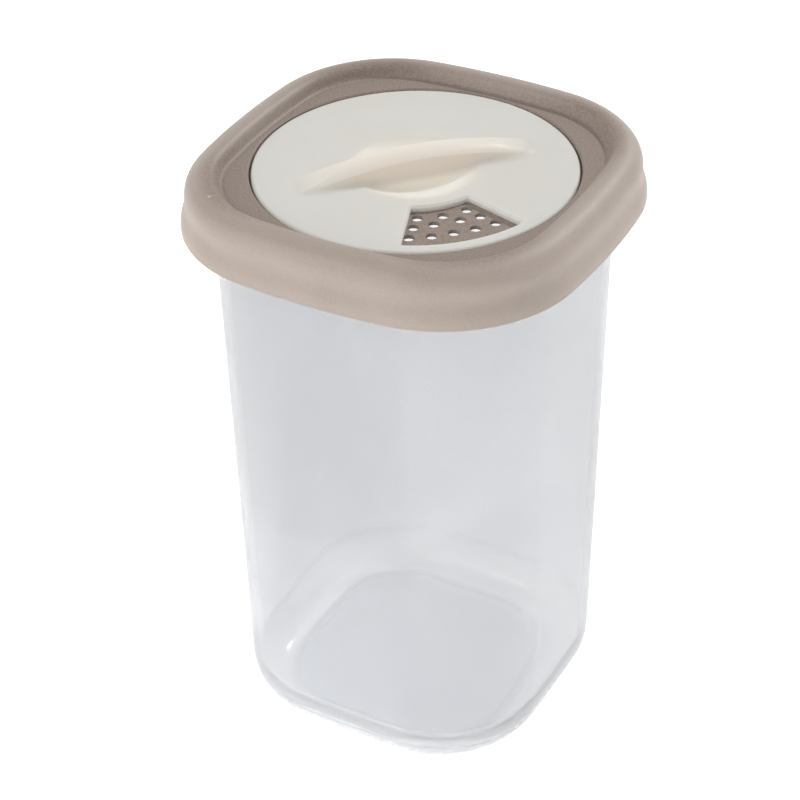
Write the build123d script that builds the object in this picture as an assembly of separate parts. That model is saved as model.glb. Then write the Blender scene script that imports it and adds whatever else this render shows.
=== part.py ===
from build123d import *
import math
import os

# Spice jar with a press-on lid and a turning shaker disc.
# Millimetres, +Z up. The origin is on the resting plane, under the middle of the jar.
# The jar is square with soft corners, and its sides bow out slightly.

# Jar: a thin moulding, square in plan, that widens towards its mouth
jar_height = 110.4
jar_base_width = 59.1
jar_mouth_width = 63.0
jar_base_corner = 20.3
jar_mouth_corner = 20.9
jar_side_bow = 373.0
jar_wall = 1.3
jar_floor = 1.4
base_rounding = 7.0
inner_base_rounding = 6.0
base_band_angle = 13.0
foot_height = 1.0
foot_inset = 4.95
foot_width = 1.4
flange_projection = 2.5
flange_corner_growth = 1.25
flange_thickness = 1.7
flange_bevel = 0.4

# Lid: a soft moulding with a rolled rim, a flared skirt and a sunk top
lid_side_bow = 140.0
lid_wall = 1.5
roll_radius = 3.9
roll_inner_radius = 1.8
roll_wrap_angle = 25.0
pinch_radius = 0.9
flare_angle = 44.0
shoulder_radius = 2.5
skirt_lean_angle = 12.0
skirt_depth = 6.2
skirt_edge_bevel = 0.35
well_floor_thickness = 1.6
well_wall_height = 0.2
well_crease_bevel = 0.3
well_ledge = 1.65
plug_depth = 6.0
plug_wall = 1.2
seal_bead_drop = 2.4
seal_bead_width = 1.2
pocket_floor_thickness = 0.7
pocket_edge_bevel = 0.25

# Shares along each curve inside the skirt, out of sight, where its straight faces start
hollow_shares = (0.0, 0.33, 0.67)

# Sprinkle holes in the lid: (share of the window's depth, angle either side of the middle line)
sprinkle_hole_radius = 1.0
sprinkle_direction = -44.2
sprinkle_holes = [
    (0.15, 0.0),
    (0.15, 16.4),
    (0.34, 7.5),
    (0.40, 18.6),
    (0.62, 0.0),
    (0.64, 10.3),
    (0.67, 20.4),
]

# Shaker disc: a hard moulding with a window, a finger dish and a grip bar across it.
# At the bar's ends the sides have run out, and the crown's edge is bar_end_sink below the disc's top.
disc_thickness = 1.2
disc_edge_rounding = 0.5
disc_edge_band_angle = 30.0
window_direction = -42.8
window_dish_gap = 2.4
window_rim = 2.5
window_inner_half_angle = 22.1
window_outer_half_angle = 24.4
window_corner_rounding = 0.7
window_edge_bevel = 0.4
dish_radius = 11.2
dish_depth = 2.5
dish_skin = 1.2
dish_base_radius = 5.0
hub_margin = 0.45
hub_wall = 1.2
hub_bead_height = 0.8
hub_bead_overlap = 0.3
bar_end_gap = 7.0
bar_rise = 3.9
bar_end_sink = 0.3
bar_crown_width = 5.4
bar_crown_drop = 1.1
bar_draft_angle = 11.0
bar_end_angle = 19.0
bar_root_rounding = 1.5

# Clearances between the pieces
plug_clearance = 0.15
seal_bead_clearance = 0.05
skirt_clearance = 0.2
disc_edge_gap = 0.4
disc_floor_gap = 0.05
hub_gap = 0.1
hub_bead_gap = 0.05

# Heights and half widths that follow from the sizes above
seat_z = jar_height
well_z = seat_z + well_floor_thickness
crest_z = well_z + well_crease_bevel + well_wall_height + roll_inner_radius
skirt_bottom_z = seat_z - skirt_depth
plug_bottom_z = seat_z - plug_depth
flange_half = jar_mouth_width / 2 + flange_projection
pinch_centre_half = flange_half + skirt_clearance + lid_wall + pinch_radius
crest_half = pinch_centre_half - (roll_radius + pinch_radius) * math.cos(math.radians(roll_wrap_angle))
lid_half = crest_half + roll_radius
lid_corner = jar_mouth_corner + flange_corner_growth + lid_half - flange_half
well_half = crest_half - roll_inner_radius
disc_bottom_z = well_z - disc_thickness
dish_base_z = well_z - dish_depth - dish_skin
pocket_z = disc_bottom_z - disc_floor_gap
pocket_underside_z = pocket_z - pocket_floor_thickness
pocket_radius = well_half - well_ledge
disc_radius = pocket_radius - disc_edge_gap
window_inner_radius = dish_radius + window_dish_gap
window_outer_radius = disc_radius - window_rim
bar_length = 2 * (disc_radius - bar_end_gap)
bar_arch_fall = bar_rise - bar_crown_drop + bar_end_sink
bar_arch_radius = ((bar_length / 2) ** 2 + bar_arch_fall**2) / (2 * bar_arch_fall)
hub_radius = dish_radius + hub_margin
hub_hole_radius = hub_radius + hub_gap
hub_bottom_z = pocket_underside_z - hub_bead_gap - hub_bead_height
plug_inset = jar_wall + plug_clearance


def bowed_square(half_width, corner_radius, bow_radius, z=0.0):
    """Closed outline of four bowed sides and four tangent corners, from mid-side on +X."""
    reach = bow_radius - corner_radius
    shift = half_width - bow_radius
    centre = (shift + math.sqrt(2 * reach**2 - shift**2)) / 2
    end_x = centre + corner_radius * (centre - shift) / reach
    end_y = centre + corner_radius * centre / reach
    corner_middle = centre + corner_radius / math.sqrt(2)
    quarter_angle = math.asin(end_y / bow_radius) / 2
    quarter_x = shift + bow_radius * math.cos(quarter_angle)
    quarter_y = bow_radius * math.sin(quarter_angle)
    edges = []
    for turn in range(4):
        quadrant = [
            ThreePointArc((half_width, 0), (quarter_x, quarter_y), (end_x, end_y)),
            ThreePointArc((end_x, end_y), (corner_middle, corner_middle), (end_y, end_x)),
            ThreePointArc((end_y, end_x), (quarter_y, quarter_x), (0, half_width)),
        ]
        edges += [edge.rotate(Axis.Z, 90 * turn) for edge in quadrant]
    return Pos(0, 0, z) * Wire(edges)


def jar_outline(z, inset):
    """Outline of the jar's outer wall at height z, moved inwards by inset."""
    share = z / jar_height
    half_width = (jar_base_width + (jar_mouth_width - jar_base_width) * share) / 2
    corner = jar_base_corner + (jar_mouth_corner - jar_base_corner) * share
    return bowed_square(half_width - inset, corner - inset, jar_side_bow - inset, z)


def jar_block(levels):
    """Solid through the jar's outline at each level, given as (height, inset)."""
    return loft([Face(jar_outline(z, inset)) for z, inset in levels], ruled=True)


def lid_outline(half_width, z=0.0):
    """Outline parallel to the lid's rim, at the given half width."""
    growth = half_width - lid_half
    return bowed_square(half_width, lid_corner + growth, lid_side_bow + growth, z)


def lid_block(half_width, bottom_z, top_z):
    """Upright solid inside an outline parallel to the lid's rim."""
    return extrude(Face(lid_outline(half_width, bottom_z)), top_z - bottom_z, dir=(0, 0, 1))


def disc_block(radius, bottom_z, top_z):
    """Upright round solid about the jar's axis."""
    return Pos(0, 0, bottom_z) * extrude(Circle(radius), top_z - bottom_z)


def at_height(items, axis, height, reach=0.001):
    """The edges or corners that lie at one height along the axis."""
    return items.filter_by_position(axis, height - reach, height + reach)


def level_edges(shape, z):
    """Edges that lie level at height z."""
    return at_height(shape.edges(), Axis.Z, z)


def circles(shape, z, radius):
    """Round edges about the jar's axis, at height z and with the given radius."""
    edges = level_edges(shape, z).filter_by(GeomType.CIRCLE)
    return edges.filter_by(lambda edge: round(edge.radius - radius, 3) == 0)


def round_block(levels):
    """Solid through level circles about the jar's axis, given as (height, radius)."""
    return loft([Pos(0, 0, z) * Circle(radius) for z, radius in levels], ruled=True)


def quarter_round(radius, band_angle):
    """Quarter circle in straight bands, as (rise, inset), from its flat end to its upright end."""
    bands = math.ceil(90 / band_angle)
    angles = [math.radians(90 * band / bands) for band in range(bands + 1)]
    return [(radius * (1 - math.cos(angle)), radius * (1 - math.sin(angle))) for angle in angles]


def rounded_jar_block(bottom_z, inset, rounding):
    """Solid through the jar's outline up to its mouth, with its bottom edge rounded."""
    bands = quarter_round(rounding, base_band_angle)
    levels = [(bottom_z + rise, inset + step) for rise, step in bands]
    return jar_block(levels + [(jar_height, inset)])


def make_jar():
    """Tapered jar with a rounded base on a low foot ring, and a flange round its mouth."""
    outer = rounded_jar_block(foot_height, 0, base_rounding)
    foot = jar_block([(0, foot_inset), (foot_height + foot_width, foot_inset)])
    foot -= jar_block([(0, foot_inset + foot_width), (foot_height, foot_inset + foot_width)])
    flange = lid_block(flange_half, jar_height - flange_thickness, jar_height)
    flange = chamfer(level_edges(flange, jar_height), flange_bevel)
    flange = chamfer(level_edges(flange, jar_height - flange_thickness), flange_bevel)
    cavity = rounded_jar_block(foot_height + jar_floor, jar_wall, inner_base_rounding)
    return outer + foot + flange - cavity


def rim_skin(depth):
    """Curve from the crest over the roll, the pinch and the skirt, depth inside the outer face."""
    centre_z = crest_z - roll_radius
    radius = roll_radius - depth
    roll = CenterArc((crest_half, centre_z), radius, 90, -90 - roll_wrap_angle)
    pinch_turn = 90 + roll_wrap_angle - flare_angle
    pinch = JernArc(roll @ 1, roll % 1, pinch_radius + depth, pinch_turn)
    shoulder_turn = 90 - skirt_lean_angle - flare_angle
    shoulder = JernArc(pinch @ 1, pinch % 1, shoulder_radius - depth, -shoulder_turn)
    start = shoulder @ 1
    run = (start.Y - skirt_bottom_z) * math.tan(math.radians(skirt_lean_angle))
    skirt = Line(start, (start.X + run, skirt_bottom_z))
    return [roll, pinch, shoulder, skirt]


def rim_section():
    """Section of the lid's rim: sunk top, well wall, rolled rim and hollow skirt."""
    ledge_half = well_half - 2 * well_crease_bevel
    arc_centre = (crest_half, crest_z - roll_inner_radius)
    skin = rim_skin(0)
    well_arc = CenterArc(arc_centre, roll_inner_radius, 90, 90)
    well = Polyline(
        well_arc @ 1,
        (well_half, well_z + well_crease_bevel),
        (well_half - well_crease_bevel, well_z),
        (ledge_half, well_z),
        (ledge_half, skirt_bottom_z),
        skin[-1] @ 1,
    )
    filled = make_face(skin + [well_arc, well])
    inner_skin = rim_skin(lid_wall)
    inside = [curve @ share for curve in inner_skin[:-1] for share in hollow_shares]
    inside += [inner_skin[-1] @ 0, inner_skin[-1] @ 1]
    inside += [(ledge_half, skirt_bottom_z), (ledge_half, inside[0].Y)]
    hollow = make_face(Polyline(inside, close=True))
    wall_width = well_half + lid_wall - ledge_half
    backing = Rectangle(wall_width, crest_z - seat_z, align=(Align.MIN, Align.MIN))
    section = filled - (hollow - Pos(ledge_half, seat_z) * backing)
    lip = at_height(section.vertices(), Axis.Y, skirt_bottom_z)
    return chamfer(lip, skirt_edge_bevel), ledge_half


def make_lid():
    """Lid with a rolled rim, a plug wall inside the mouth, and a floor with sprinkle holes."""
    section, ledge_half = rim_section()
    lid = sweep(Plane.XZ * section, path=lid_outline(crest_half, crest_z))
    lid += lid_block(ledge_half, seat_z, well_z)
    bead_z = seat_z - seal_bead_drop
    plug_levels = [
        (plug_bottom_z, plug_inset),
        (bead_z - seal_bead_width / 2, plug_inset),
        (bead_z, jar_wall + seal_bead_clearance),
        (bead_z + seal_bead_width / 2, plug_inset),
        (seat_z, plug_inset),
    ]
    plug = jar_block(plug_levels)
    hollow_inset = plug_inset + plug_wall
    plug_hollow = jar_block([(plug_bottom_z, hollow_inset), (seat_z, hollow_inset)])
    lid += plug - plug_hollow
    lid += disc_block(pocket_radius + plug_wall, pocket_underside_z, seat_z) & plug
    lid -= disc_block(pocket_radius, pocket_z, well_z)
    lid = chamfer(circles(lid, well_z, pocket_radius), pocket_edge_bevel)
    lid -= disc_block(hub_hole_radius, pocket_underside_z, pocket_z)
    for share, half_angle in sprinkle_holes:
        distance = window_inner_radius + share * (window_outer_radius - window_inner_radius)
        for side in {half_angle, -half_angle}:
            place = Rot(0, 0, sprinkle_direction + side) * Pos(distance, 0, 0)
            lid -= place * disc_block(sprinkle_hole_radius, pocket_underside_z, pocket_z)
    return lid


def window_block():
    """Upright block of the window: a sector of a ring with slightly splayed sides."""
    corners = []
    for radius, half_angle in (
        (window_inner_radius, window_inner_half_angle),
        (window_outer_radius, window_outer_half_angle),
    ):
        across = radius * math.sin(math.radians(half_angle))
        along = radius * math.cos(math.radians(half_angle))
        corners.append(((along, -across), (along, across)))
    (inner_low, inner_high), (outer_low, outer_high) = corners
    outline = [
        ThreePointArc(inner_low, (window_inner_radius, 0), inner_high),
        Line(inner_high, outer_high),
        ThreePointArc(outer_high, (window_outer_radius, 0), outer_low),
        Line(outer_low, inner_low),
    ]
    window = make_face(outline)
    window = fillet(window.vertices(), window_corner_rounding)
    block = Pos(0, 0, disc_bottom_z - disc_thickness) * extrude(window, 3 * disc_thickness)
    return Rot(0, 0, window_direction) * block


def grip_bar():
    """Arched bar, square to the window, with a crowned top, drafted sides and sloped ends."""
    apex_z = well_z + bar_rise
    depth = bar_rise + dish_depth + dish_skin / 2
    crown_half = bar_crown_width / 2
    root_half = crown_half + (depth - bar_crown_drop) * math.tan(math.radians(bar_draft_angle))
    crown_start = (-crown_half, -bar_crown_drop)
    crown_end = (crown_half, -bar_crown_drop)
    crown = ThreePointArc(crown_start, (0, 0), crown_end)
    sides = Polyline(crown_end, (root_half, -depth), (-root_half, -depth), crown_start)
    section = Pos(0, 0, apex_z) * (Plane.YZ * make_face([crown, sides]))
    arch_axis = Axis((0, 0, apex_z - bar_arch_radius), (0, 1, 0))
    half_angle = math.degrees(math.asin(disc_radius / bar_arch_radius))
    bar = revolve(section.rotate(arch_axis, -half_angle), arch_axis, 2 * half_angle)
    run_per_rise = 1 / math.tan(math.radians(bar_end_angle))
    top_half = bar_length / 2 - bar_rise * run_per_rise
    bottom_half = bar_length / 2 + (depth - bar_rise) * run_per_rise
    trim = Polyline(
        (-bottom_half, apex_z - depth),
        (bottom_half, apex_z - depth),
        (top_half, apex_z),
        (-top_half, apex_z),
        close=True,
    )
    return bar & extrude(Plane.XZ * make_face(trim), root_half, both=True)


def make_shaker_disc():
    """Disc with a window, a snap hub below, and a dish with a soft-rooted grip bar above."""
    bands = quarter_round(disc_edge_rounding, disc_edge_band_angle)
    edge = [(well_z - rise, disc_radius - step) for rise, step in reversed(bands)]
    disc = round_block([(disc_bottom_z, disc_radius)] + edge)
    window = window_block()
    pierced = disc - window
    window_edges = ShapeList(new_edges(disc, window, combined=pierced))
    disc = chamfer(level_edges(window_edges, well_z), window_edge_bevel)

    bar_turn = Rot(0, 0, window_direction + 90)
    sphere_radius = (dish_radius**2 + dish_depth**2) / (2 * dish_depth)
    sphere_place = bar_turn * Pos(0, 0, well_z - dish_depth + sphere_radius)
    bowl = round_block([(dish_base_z, dish_base_radius), (disc_bottom_z, hub_radius)])
    disc = disc + bowl - sphere_place * Sphere(sphere_radius)

    bar = bar_turn * grip_bar()
    bar &= disc_block(disc_radius - disc_edge_rounding, disc_bottom_z, well_z + bar_rise) + bowl
    barred = disc + bar
    root_edges = ShapeList(new_edges(disc, bar, combined=barred))
    root_edges = root_edges.filter_by(lambda edge: round(edge.bounding_box().max.Z - well_z, 3) >= 0)
    disc = fillet(root_edges + circles(barred, well_z, dish_radius), bar_root_rounding)

    bead_top = (hub_bottom_z + hub_bead_height, hub_hole_radius + hub_bead_overlap)
    hub = disc_block(hub_radius, hub_bottom_z, disc_bottom_z)
    hub += round_block([(hub_bottom_z, hub_radius), bead_top])
    hub -= disc_block(hub_radius - hub_wall, hub_bottom_z, disc_bottom_z)
    return disc + hub


if __name__ == "__main__":
    os.makedirs("parts", exist_ok=True)
    export_step(make_jar(), "parts/jar.step")
    export_step(make_lid(), "parts/lid.step")
    export_step(make_shaker_disc(), "parts/shaker_disc.step")
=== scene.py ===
import bpy
import math
from mathutils import Matrix, Vector


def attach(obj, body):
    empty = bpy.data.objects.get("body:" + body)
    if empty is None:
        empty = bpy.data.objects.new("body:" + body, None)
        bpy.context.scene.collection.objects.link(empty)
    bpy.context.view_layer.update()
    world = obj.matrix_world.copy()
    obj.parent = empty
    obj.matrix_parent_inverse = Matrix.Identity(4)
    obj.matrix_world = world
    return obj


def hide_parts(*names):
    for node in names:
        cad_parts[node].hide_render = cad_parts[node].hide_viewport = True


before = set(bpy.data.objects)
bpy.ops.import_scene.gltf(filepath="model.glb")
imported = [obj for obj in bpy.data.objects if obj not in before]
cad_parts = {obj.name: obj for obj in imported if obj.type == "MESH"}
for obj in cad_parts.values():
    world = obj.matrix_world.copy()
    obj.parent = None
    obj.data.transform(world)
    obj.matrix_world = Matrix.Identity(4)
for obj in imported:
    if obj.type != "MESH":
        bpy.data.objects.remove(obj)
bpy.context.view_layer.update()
MM = 0.001

# Camera: the photo's view, as a focal length, a direction in degrees and a distance
FOCAL_LENGTH = 106.7
SENSOR_WIDTH = 36.0
NEAREST_SEEN = 10 * MM
VIEW_AZIMUTH = 29.273
VIEW_ELEVATION = 34.913
VIEW_ROLL = 1.071
VIEW_DISTANCE = 440.9 * MM
VIEW_TARGET = Vector((0, 0, 56 * MM))
VIEW_SHIFT_RIGHT = -3.4 * MM
VIEW_SHIFT_UP = 5.7 * MM

# Lights: where each comes from, as a plan angle from +X and a height angle, its strength,
# and how wide it looks. Angles are in degrees
LIGHTS = {
    "back_window": {"azimuth": 72.0, "elevation": 38.7, "strength": 1.6, "width": 1.5},
    "front_fill": {"azimuth": -122.0, "elevation": 10.0, "strength": 0.8, "width": 60.0},
    "front_window": {"azimuth": -125.0, "elevation": 44.0, "strength": 0.7, "width": 7.0},
}

# Sky: soft light all round, brightest near the horizon
HORIZON_STRENGTH = 0.76
ZENITH_STRENGTH = 0.28

# Floor, in metres: wide enough that no view shows its end. It glows a little, as a light table does
FLOOR_SIZE = 40.0
FLOOR_COLOUR = (0.95, 0.95, 0.95, 1)
FLOOR_ROUGHNESS = 0.8
FLOOR_GLOW = 0.43

# Lid rim, in mm: its outline is parallel to the roll's outermost line
ROLL_HALF = 36.15
ROLL_CORNER = 24.3
SIDE_BOW = 140.0
SIDE_STEPS = 12
CORNER_STEPS = 22

# Lid rim's section, in mm, as (half width, height): the well's foot, a curve up to a small arc,
# the roll's quarter circle, the flare down from it, and the lip that turns under
WELL_FOOT = (29.35, 112.02)
WELL_FOOT_HANDLE = (30.1, 112.02)
WELL_TOP_HANDLE = 0.7
WELL_STEPS = 10
WELL_ARC_Z = 112.5
WELL_ARC_RADIUS = 1.83
WELL_ARC_START = 150.0
WELL_ARC_STEPS = 6
CREST_HALF = 32.25
ROLL_CENTRE_Z = 110.4
ROLL_RADIUS = 3.93
ROLL_STEPS = 14
FLARE = ((36.18, 109.6), (36.18, 107.9), (37.05, 107.2), (37.075, 105.2))
FLARE_STEPS = 12
LIP = ((37.075, 104.75), (37.07, 104.3), (36.9, 104.17), (36.5, 104.17))
LIP_STEPS = 8

# Back of the rim's section, from the lip to the well's foot, out of sight inside the lid's own wall
HIDDEN_SIDE = [
    (36.1, 104.3), (36.2, 105.2), (35.8, 106.5), (35.2, 107.8), (35.1, 109.0), (35.4, 110.4),
    (34.5, 112.6), (32.25, 113.5), (31.3, 113.0), (31.2, 112.2), (30.6, 111.8), (29.35, 111.8),
]

# Jar wall, in mm: it widens from its base to its mouth
JAR_HEIGHT = 110.4
BASE_HALF = 29.55
MOUTH_HALF = 31.5
BASE_CORNER = 20.3
MOUTH_CORNER = 20.9
JAR_BOW = 373.0
WALL = 1.3

# Jar base, in mm: rounded outside and inside. The foot ring under it is given as (height, inset)
BASE_Z = 1.0
BASE_ROUNDING = 7.0
FOOT = [(BASE_Z, 7.0), (1.03, 6.35), (0.0, 6.35), (0.0, 4.95), (1.307, 4.95)]
FOOT_ANGLE = 73.0
FLOOR_Z = 2.4
INNER_ROUNDING = 8.0
ROUNDING_STEPS = 14

# Flange round the jar's mouth, in mm, as (half width, height)
FLANGE = [(33.6, 108.7), (34.0, 109.1), (34.0, 110.0), (33.6, 110.4)]

# Edges that turn by more than this many degrees stay sharp
SHARP_ANGLE = 40

# Name of the value kept at the jar's points that says how much painted light its rounded base gets: the
# thick rounding is milkier, and its haze is also painted whiter for the light band that reflections make
# there. Also the share of it that the outer rounding gets
BASE_BAND_PAINT = "painted_base_band"
OUTSIDE_SHARE = 0.25

# Spans of the noise's values that are stretched over all that a material changes, and the whole
# span of a share
NOISE_SPAN = (0.3, 0.7)
TINT_SPAN = (0.35, 0.65)
GRAIN_SPAN = (0.38, 0.62)
WHOLE_SPAN = (0, 1)

# Jar's plastic. The wall's milkiness and its mirror share each go from a face seen square on to one
# seen edge on. The haze is kept this rough and this thin: a smoother one gave patches with hard
# edges, and a thicker one gave hard lines down the walls
CLOUD_SIZE = 14 * MM
RIPPLE_SIZE = 5 * MM
RIPPLE_DEPTH = 0.004 * MM
DARK_HAZE = (0.555, 0.565, 0.58, 1)
LIGHT_HAZE = (0.615, 0.625, 0.64, 1)
# Painted light: the whiter haze of the base's rounded band
BASE_PAINTED_LIGHT = (0.97, 0.97, 0.96, 1)
HAZE_ROUGHNESS = (0.3, 0.4)
GLOW_SHARE = 0.75
WALL_MILKINESS = (0.28, 0.345)
BASE_MILKINESS = (0, 0.3)
PLASTIC_IOR = 1.49
GLASS_TINT = (0.99, 0.993, 1, 1)
GLASS_ROUGHNESS = 0.04
LAMP_TINT = (0.985, 0.988, 0.995, 1)
MIRROR_SHARE = (0.035, 0.14)
MIRROR_SHARPNESS = 4.0
MIRROR_ROUGHNESS = 0.2

# Lid's plastic. Its sunk well gets painted shade: a darker grey inside a square with round corners, for the
# shade that falls between the rims. The distance is measured from the corners' centres, and the grey
# changes between the well's edge and the crest
LID_GRAIN_SIZE = 0.35 * MM
LID_GRAIN_DEPTH = 0.035 * MM
LID_PATCH_SIZE = 9 * MM
DARK_GREY = (0.39, 0.322, 0.278, 1)
LIGHT_GREY = (0.42, 0.352, 0.308, 1)
WELL_PAINTED_SHADE = (0.21, 0.158, 0.128, 1)
GRAIN_GREY = (0.48, 0.41, 0.36, 1)
WELL_SHADE_SHARE = 0.8
GRAIN_SHARE = 0.35
WELL_CORNER_CENTRE = (15 * MM, 15 * MM, 0)
WELL_EDGE = 14.6 * MM
CREST_EDGE = 17.2 * MM
LID_ROUGHNESS = (0.46, 0.62)
LID_SHEEN = 0.1
LID_SHEEN_ROUGHNESS = 0.4

# Gate mark: where the lid's plastic was fed into its mould, on the rim's crest at one corner
GATE_MARK = Vector((-23.9 * MM, -28.3 * MM, 114.27 * MM))
GATE_INNER_RADIUS = 0.25 * MM
GATE_OUTER_RADIUS = 0.45 * MM
GATE_HEIGHT = 0.15 * MM
GATE_GREY = (0.56, 0.49, 0.43, 1)

# Disc's plastic: its colour changes between two distances from its flat top, up the bar or down the dish,
# to a lighter and warmer white. This is painted light: a warm glow on the bar, and the dish lit up where
# the bar's shade falls
DISC_TOP = 112.0 * MM
PAINTED_LIGHT_START = 0.1 * MM
PAINTED_LIGHT_END = 1.2 * MM
DISC_GRAIN_SIZE = 0.5 * MM
DISC_GRAIN_DEPTH = 0.006 * MM
DISC_PATCH_SIZE = 12 * MM
FLAT_WHITE = (0.78, 0.735, 0.665, 1)
BAR_PAINTED_GLOW = (0.83, 0.77, 0.69, 1)
DISH_PAINTED_LIGHT = (0.94, 0.885, 0.80, 1)
PATCH_WHITE = (0.86, 0.84, 0.80, 1)
PATCH_SHARE = 0.12
DISC_ROUGHNESS = (0.34, 0.44)
DISC_SCATTER = 0.65
DISC_SCATTER_REACH = (1.0, 0.85, 0.65)
DISC_SCATTER_SCALE = 4.0 * MM

# Sockets of a Mix node that blends colours
MIX_FIRST = 6
MIX_SECOND = 7
MIX_RESULT = 2


def add_camera():
    a, e, roll = (math.radians(v) for v in (VIEW_AZIMUTH, VIEW_ELEVATION, VIEW_ROLL))
    right = Vector((math.cos(a), math.sin(a), 0))
    forward = Vector((-math.sin(a) * math.cos(e), math.cos(a) * math.cos(e), -math.sin(e)))
    up = right.cross(forward)
    place = VIEW_TARGET + right * VIEW_SHIFT_RIGHT + up * VIEW_SHIFT_UP - forward * VIEW_DISTANCE
    rolled_right = right * math.cos(roll) - up * math.sin(roll)
    rolled_up = right * math.sin(roll) + up * math.cos(roll)
    data = bpy.data.cameras.new("camera")
    data.lens = FOCAL_LENGTH
    data.sensor_width = SENSOR_WIDTH
    data.clip_start = NEAREST_SEEN
    camera = bpy.data.objects.new("camera", data)
    bpy.context.scene.collection.objects.link(camera)
    turn = Matrix((rolled_right, rolled_up, -forward)).transposed().to_4x4()
    camera.matrix_world = Matrix.Translation(place) @ turn
    bpy.context.scene.camera = camera


def new_material(name):
    """A new material, its node tree and its main shader."""
    material = bpy.data.materials.new(name)
    material.use_nodes = True
    tree = material.node_tree
    return material, tree, tree.nodes["Principled BSDF"]


def set_inputs(tree, node, inputs):
    """Fill a node's inputs: another node's output is linked, and a plain value is set."""
    for name, value in inputs.items():
        if isinstance(value, bpy.types.NodeSocket):
            tree.links.new(value, node.inputs[name])
        else:
            node.inputs[name].default_value = value


def add_node(tree, kind, inputs):
    """A new shader node of the kind, with its inputs filled."""
    node = tree.nodes.new("ShaderNode" + kind)
    set_inputs(tree, node, inputs)
    return node


def calculate(tree, operation, first, second):
    """Result of an operation on two numbers."""
    node = add_node(tree, "Math", {0: first, 1: second})
    node.operation = operation
    return node.outputs[0]


def calculate_vector(tree, operation, first, second=(0, 0, 0)):
    """Result of an operation on vectors: a number for a length or a distance, or else a vector."""
    node = add_node(tree, "VectorMath", {0: first, 1: second})
    node.operation = operation
    return node.outputs["Value" if operation in ("LENGTH", "DISTANCE") else "Vector"]


def surface_point(tree):
    return add_node(tree, "TexCoord", {}).outputs["Object"]


def height_of(tree, vector):
    return add_node(tree, "SeparateXYZ", {"Vector": vector}).outputs["Z"]


def noise(tree, point, size, detail):
    """Noise whose patches are about size across, in metres."""
    return add_node(tree, "TexNoise", {"Scale": 1 / size, "Detail": detail, "Vector": point}).outputs["Fac"]


def remap(tree, source, low, high, to_low, to_high):
    """The source, moved from one range of values to another and held within it."""
    spans = {"From Min": low, "From Max": high, "To Min": to_low, "To Max": to_high}
    return add_node(tree, "MapRange", {"Value": source, **spans}).outputs["Result"]


def blend_colours(tree, share, first, second):
    """Two colours, mixed so that the share is the second's part."""
    node = tree.nodes.new("ShaderNodeMix")
    node.data_type = "RGBA"
    set_inputs(tree, node, {"Factor": share, MIX_FIRST: first, MIX_SECOND: second})
    return node.outputs[MIX_RESULT]


def mix_shaders(tree, share, first, second):
    """Two shaders, mixed so that the share is the second's part."""
    return add_node(tree, "MixShader", {0: share, 1: first, 2: second}).outputs[0]


def bump(tree, height, depth, under=None):
    """Surface direction of a relief, laid over another one where under is given."""
    node = add_node(tree, "Bump", {"Distance": depth, "Strength": 1.0, "Height": height})
    if under is not None:
        tree.links.new(under, node.inputs["Normal"])
    return node.outputs["Normal"]


def dress(node, material):
    """Give a solid's mesh its material."""
    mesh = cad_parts[node].data
    mesh.materials.clear()
    mesh.materials.append(material)


def curve_points(ends, steps):
    """Points on a cubic curve through four control points, without its last."""
    points = []
    for step in range(steps):
        t = step / steps
        weights = ((1 - t) ** 3, 3 * t * (1 - t) ** 2, 3 * t * t * (1 - t), t**3)
        points.append(tuple(sum(w * p[k] for w, p in zip(weights, ends)) for k in (0, 1)))
    return points


def arc_points(centre, radius, first, last, steps):
    """Points on an arc between two angles in degrees, without its last."""
    angles = [math.radians(first + (last - first) * step / steps) for step in range(steps)]
    return [(centre[0] + radius * math.cos(a), centre[1] + radius * math.sin(a)) for a in angles]


def rim_section():
    """Closed section of the rim: up from the sunk floor, over the roll, down the flare, round the lip."""
    well_start = math.radians(WELL_ARC_START)
    joint = (
        CREST_HALF + WELL_ARC_RADIUS * math.cos(well_start),
        WELL_ARC_Z + WELL_ARC_RADIUS * math.sin(well_start),
    )
    before = (
        joint[0] - WELL_TOP_HANDLE * math.sin(well_start),
        joint[1] + WELL_TOP_HANDLE * math.cos(well_start),
    )
    section = curve_points((WELL_FOOT, WELL_FOOT_HANDLE, before, joint), WELL_STEPS)
    section += arc_points((CREST_HALF, WELL_ARC_Z), WELL_ARC_RADIUS, WELL_ARC_START, 90, WELL_ARC_STEPS)
    section += arc_points((CREST_HALF, ROLL_CENTRE_Z), ROLL_RADIUS, 90, 0, ROLL_STEPS)
    section += [(CREST_HALF + ROLL_RADIUS, ROLL_CENTRE_Z)]
    return section + curve_points(FLARE, FLARE_STEPS) + curve_points(LIP, LIP_STEPS) + HIDDEN_SIDE


def bowed_square(half, corner, bow):
    """Points round a square with bowed sides and round corners, each with its outward direction."""
    reach = bow - corner
    shift = half - bow
    centre = (shift + math.sqrt(2 * reach**2 - shift**2)) / 2
    joint = math.atan2(centre, centre - shift)
    arcs = [
        ((shift, 0), bow, 0, joint, SIDE_STEPS),
        ((centre, centre), corner, joint, math.pi / 2 - joint, CORNER_STEPS),
        ((0, shift), bow, math.pi / 2 - joint, math.pi / 2, SIDE_STEPS),
    ]
    outline = []
    for turn in range(4):
        turned = Matrix.Rotation(turn * math.pi / 2, 2)
        for middle, radius, first, last, steps in arcs:
            for step in range(steps):
                angle = first + (last - first) * step / steps
                out = Vector((math.cos(angle), math.sin(angle)))
                outline.append((turned @ (Vector(middle) + radius * out), turned @ out))
    return outline


def rim_ring(half, height):
    """Ring of points parallel to the lid's rim."""
    outline = bowed_square(ROLL_HALF, ROLL_CORNER, SIDE_BOW)
    return [(*(place + out * (half - ROLL_HALF)), height) for place, out in outline]


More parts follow.
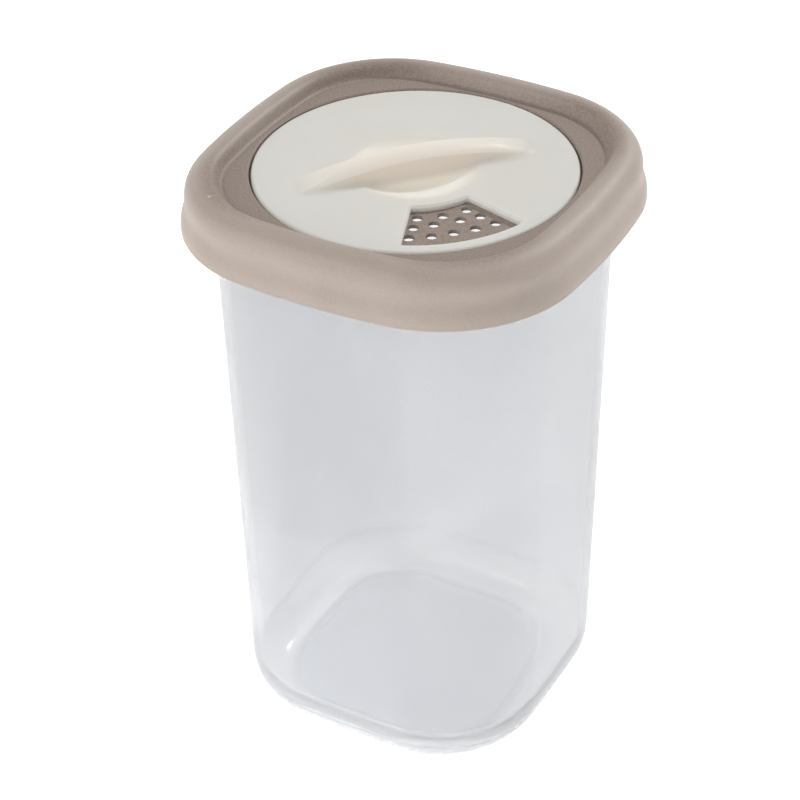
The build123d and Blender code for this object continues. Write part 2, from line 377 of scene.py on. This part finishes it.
def jar_ring(height, inset):
    """Ring of points on the jar's wall, moved inwards by inset."""
    share = height / JAR_HEIGHT
    half = BASE_HALF + (MOUTH_HALF - BASE_HALF) * share - inset
    corner = BASE_CORNER + (MOUTH_CORNER - BASE_CORNER) * share - inset
    return [(*place, height) for place, out in bowed_square(half, corner, JAR_BOW - inset)]


def rounding(low_z, inset, radius, first, last):
    """Rows of a rounded edge, as (height, inset), from one angle below the level to another."""
    rows = []
    for step in range(ROUNDING_STEPS + 1):
        angle = math.radians(first + (last - first) * step / ROUNDING_STEPS)
        rows.append((low_z + radius * (1 - math.sin(angle)), inset + radius * (1 - math.cos(angle))))
    return rows


def joined(name, rings, material, body, ends_meet):
    """A piece through rings of points. Its last ring joins its first, or each of them is closed."""
    around = len(rings[0])
    points = [tuple(v * MM for v in point) for ring in rings for point in ring]
    last = len(rings) if ends_meet else len(rings) - 1
    faces = []
    for j in range(last):
        here, there = j * around, (j + 1) % len(rings) * around
        for i in range(around):
            after = (i + 1) % around
            faces.append((here + i, here + after, there + after, there + i))
    if not ends_meet:
        faces.append(tuple(reversed(range(around))))
        faces.append(tuple(range(last * around, (last + 1) * around)))
    mesh = bpy.data.meshes.new(name)
    mesh.from_pydata(points, [], faces)
    mesh.polygons.foreach_set("use_smooth", [True] * len(faces))
    mesh.set_sharp_from_angle(angle=math.radians(SHARP_ANGLE))
    mesh.materials.append(material)
    piece = bpy.data.objects.new(name, mesh)
    bpy.context.scene.collection.objects.link(piece)
    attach(piece, body)
    return piece


def make_rim(material):
    """The rim's soft outer skin: no crease where the roll meets the floor or the flared skirt."""
    rings = [rim_ring(half, height) for half, height in reversed(rim_section())]
    joined("lid_rim", rings, material, "lid", True)


def make_jar(material):
    """The jar, in place of the solid's mesh, with finer roundings outside and inside its base."""
    outside = rounding(BASE_Z, 0, BASE_ROUNDING, FOOT_ANGLE, 0)
    inside = rounding(FLOOR_Z, WALL, INNER_ROUNDING, 0, 90)
    rings = [jar_ring(height, inset) for height, inset in FOOT + outside]
    rings += [jar_ring(FLANGE[0][1], 0)]
    rings += [rim_ring(half, height) for half, height in FLANGE]
    rings += [jar_ring(JAR_HEIGHT, WALL)]
    rings += [jar_ring(height, inset) for height, inset in inside]
    jar = joined("jar_wall", rings, material, "jar", False)
    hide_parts("jar")
    # Share of painted light on each ring: most on the inside rounding, a part of it on the outside rounding
    swell = [math.sin(math.pi * step / ROUNDING_STEPS) for step in range(ROUNDING_STEPS + 1)]
    upright = len(rings) - len(FOOT) - len(outside) - len(inside)
    light = [0] * len(FOOT) + [OUTSIDE_SHARE * value for value in swell] + [0] * upright + swell
    around = len(rings[0])
    values = jar.data.attributes.new(BASE_BAND_PAINT, "FLOAT", "POINT")
    values.data.foreach_set("value", [value for value in light for _ in range(around)])


def jar_material():
    """Milky clear plastic: each face of the wall lets most light through and scatters the rest. Its rounded
    base band has painted light: a whiter, milkier haze.
    """
    material, tree, haze = new_material("translucent_plastic")
    point = surface_point(tree)
    clouds = noise(tree, point, CLOUD_SIZE, detail=3.0)
    ripples = noise(tree, point, RIPPLE_SIZE, detail=1.0)
    base = add_node(tree, "Attribute", {})
    base.attribute_name = BASE_BAND_PAINT
    curve = base.outputs["Fac"]
    wall_haze = blend_colours(tree, clouds, DARK_HAZE, LIGHT_HAZE)
    # Painted light: the haze turns whiter on the rounded base band
    haze_and_painted_band = blend_colours(tree, curve, wall_haze, BASE_PAINTED_LIGHT)
    set_inputs(tree, haze, {
        "Base Color": haze_and_painted_band,
        "Roughness": remap(tree, clouds, *NOISE_SPAN, *HAZE_ROUGHNESS),
        "Normal": bump(tree, ripples, RIPPLE_DEPTH),
        "IOR": PLASTIC_IOR,
    })
    glow = add_node(tree, "BsdfTranslucent", {"Color": haze_and_painted_band})
    milk = mix_shaders(tree, GLOW_SHARE, haze.outputs[0], glow.outputs[0])
    glass_settings = {"Color": GLASS_TINT, "Roughness": GLASS_ROUGHNESS, "IOR": PLASTIC_IOR}
    glass = add_node(tree, "BsdfGlass", glass_settings)
    through = add_node(tree, "BsdfTransparent", {"Color": LAMP_TINT})
    lamp_ray = add_node(tree, "LightPath", {}).outputs["Is Shadow Ray"]
    clear = mix_shaders(tree, lamp_ray, glass.outputs[0], through.outputs[0])
    tilt = add_node(tree, "LayerWeight", {"Blend": 0.5}).outputs["Facing"]
    wall_part = remap(tree, tilt, *WHOLE_SPAN, *WALL_MILKINESS)
    base_part = remap(tree, curve, *WHOLE_SPAN, *BASE_MILKINESS)
    milkiness = calculate(tree, "ADD", wall_part, base_part)
    body = mix_shaders(tree, milkiness, clear, milk)
    grazing = calculate(tree, "POWER", tilt, MIRROR_SHARPNESS)
    mirror_share = remap(tree, grazing, *WHOLE_SPAN, *MIRROR_SHARE)
    gloss = add_node(tree, "BsdfAnisotropic", {"Color": (1, 1, 1, 1), "Roughness": MIRROR_ROUGHNESS})
    face = mix_shaders(tree, mirror_share, body, gloss.outputs[0])
    tree.links.new(face, tree.nodes["Material Output"].inputs["Surface"])
    return material


def painted_well_shade(tree, point):
    """Share of painted shade: 1 on the lid's sunk floor, falling to 0 at the rim's crest."""
    plan = calculate_vector(tree, "MULTIPLY", point, (1, 1, 0))
    folded = calculate_vector(tree, "ABSOLUTE", plan)
    past = calculate_vector(tree, "SUBTRACT", folded, WELL_CORNER_CENTRE)
    kept = calculate_vector(tree, "MAXIMUM", past)
    reach = calculate_vector(tree, "LENGTH", kept)
    return remap(tree, reach, WELL_EDGE, CREST_EDGE, 1, 0)


def lid_material():
    """Soft moulded plastic: warm grey with a fine grain, painted shade in the sunk floor, and one gate
    mark.
    """
    material, tree, shader = new_material("soft_plastic")
    point = surface_point(tree)
    grain = noise(tree, point, LID_GRAIN_SIZE, detail=4.0)
    patches = noise(tree, point, LID_PATCH_SIZE, detail=2.0)
    patch_share = remap(tree, patches, *NOISE_SPAN, *WHOLE_SPAN)
    grey = blend_colours(tree, patch_share, DARK_GREY, LIGHT_GREY)
    # Painted shade: the sunk floor is coloured darker for the shade that falls in it
    well_shade_share = remap(tree, painted_well_shade(tree, point), *WHOLE_SPAN, 0, WELL_SHADE_SHARE)
    with_well_shade = blend_colours(tree, well_shade_share, grey, WELL_PAINTED_SHADE)
    grain_share = remap(tree, grain, *GRAIN_SPAN, 0, GRAIN_SHARE)
    grained = blend_colours(tree, grain_share, with_well_shade, GRAIN_GREY)
    from_gate = calculate_vector(tree, "DISTANCE", point, GATE_MARK)
    gate = remap(tree, from_gate, GATE_INNER_RADIUS, GATE_OUTER_RADIUS, 1, 0)
    set_inputs(tree, shader, {
        "Base Color": blend_colours(tree, gate, grained, GATE_GREY),
        "Roughness": remap(tree, grain, *NOISE_SPAN, *LID_ROUGHNESS),
        "Normal": bump(tree, grain, LID_GRAIN_DEPTH, under=bump(tree, gate, GATE_HEIGHT)),
        "Sheen Weight": LID_SHEEN,
        "Sheen Roughness": LID_SHEEN_ROUGHNESS,
    })
    return material


def disc_material():
    """Hard moulded plastic: grey-white, with painted light where it rises or dips from its flat top: a
    lighter, warmer white on the bar and in the dish.
    """
    material, tree, shader = new_material("hard_plastic")
    point = surface_point(tree)
    above = calculate(tree, "SUBTRACT", height_of(tree, point), DISC_TOP)
    # Painted light: the bar and the dish are coloured lighter and warmer than the flat top
    bar_glow_share = remap(tree, above, PAINTED_LIGHT_START, PAINTED_LIGHT_END, *WHOLE_SPAN)
    dish_light_share = remap(tree, above, -PAINTED_LIGHT_START, -PAINTED_LIGHT_END, *WHOLE_SPAN)
    grain = noise(tree, point, DISC_GRAIN_SIZE, detail=3.0)
    patches = noise(tree, point, DISC_PATCH_SIZE, detail=2.0)
    with_bar_glow = blend_colours(tree, bar_glow_share, FLAT_WHITE, BAR_PAINTED_GLOW)
    with_dish_light = blend_colours(tree, dish_light_share, with_bar_glow, DISH_PAINTED_LIGHT)
    patch_share = remap(tree, patches, *TINT_SPAN, 0, PATCH_SHARE)
    set_inputs(tree, shader, {
        "Base Color": blend_colours(tree, patch_share, with_dish_light, PATCH_WHITE),
        "Roughness": remap(tree, patches, *NOISE_SPAN, *DISC_ROUGHNESS),
        "Normal": bump(tree, grain, DISC_GRAIN_DEPTH),
        "Subsurface Weight": DISC_SCATTER,
        "Subsurface Radius": DISC_SCATTER_REACH,
        "Subsurface Scale": DISC_SCATTER_SCALE,
    })
    return material


def add_floor():
    bpy.ops.mesh.primitive_plane_add(size=FLOOR_SIZE)
    floor = bpy.context.active_object
    floor.name = "floor"
    material, tree, shader = new_material("pale_floor")
    set_inputs(tree, shader, {
        "Base Color": FLOOR_COLOUR,
        "Roughness": FLOOR_ROUGHNESS,
        "Emission Color": (1, 1, 1, 1),
        "Emission Strength": FLOOR_GLOW,
    })
    floor.data.materials.append(material)


def add_sun(name, azimuth, elevation, strength, width):
    data = bpy.data.lights.new(name, "SUN")
    data.energy = strength
    data.angle = math.radians(width)
    sun = bpy.data.objects.new(name, data)
    bpy.context.scene.collection.objects.link(sun)
    a, e = math.radians(azimuth), math.radians(elevation)
    towards = Vector((math.cos(a) * math.cos(e), math.sin(a) * math.cos(e), math.sin(e)))
    sun.rotation_euler = towards.to_track_quat("Z", "Y").to_euler()


def add_sky():
    world = bpy.data.worlds.new("studio")
    world.use_nodes = True
    tree = world.node_tree
    direction = add_node(tree, "TexCoord", {}).outputs["Generated"]
    set_inputs(tree, tree.nodes["Background"], {
        "Color": (1, 1, 1, 1),
        "Strength": remap(
            tree, height_of(tree, direction), *WHOLE_SPAN, HORIZON_STRENGTH, ZENITH_STRENGTH
        ),
    })
    bpy.context.scene.world = world


add_camera()
add_floor()
add_sky()
for light_name, light in LIGHTS.items():
    add_sun(light_name, **light)
bpy.context.scene.view_settings.view_transform = "Standard"

clear_plastic = jar_material()
dress("jar", clear_plastic)
make_jar(clear_plastic)
soft_plastic = lid_material()
dress("lid", soft_plastic)
make_rim(soft_plastic)
dress("shaker_disc", disc_material())
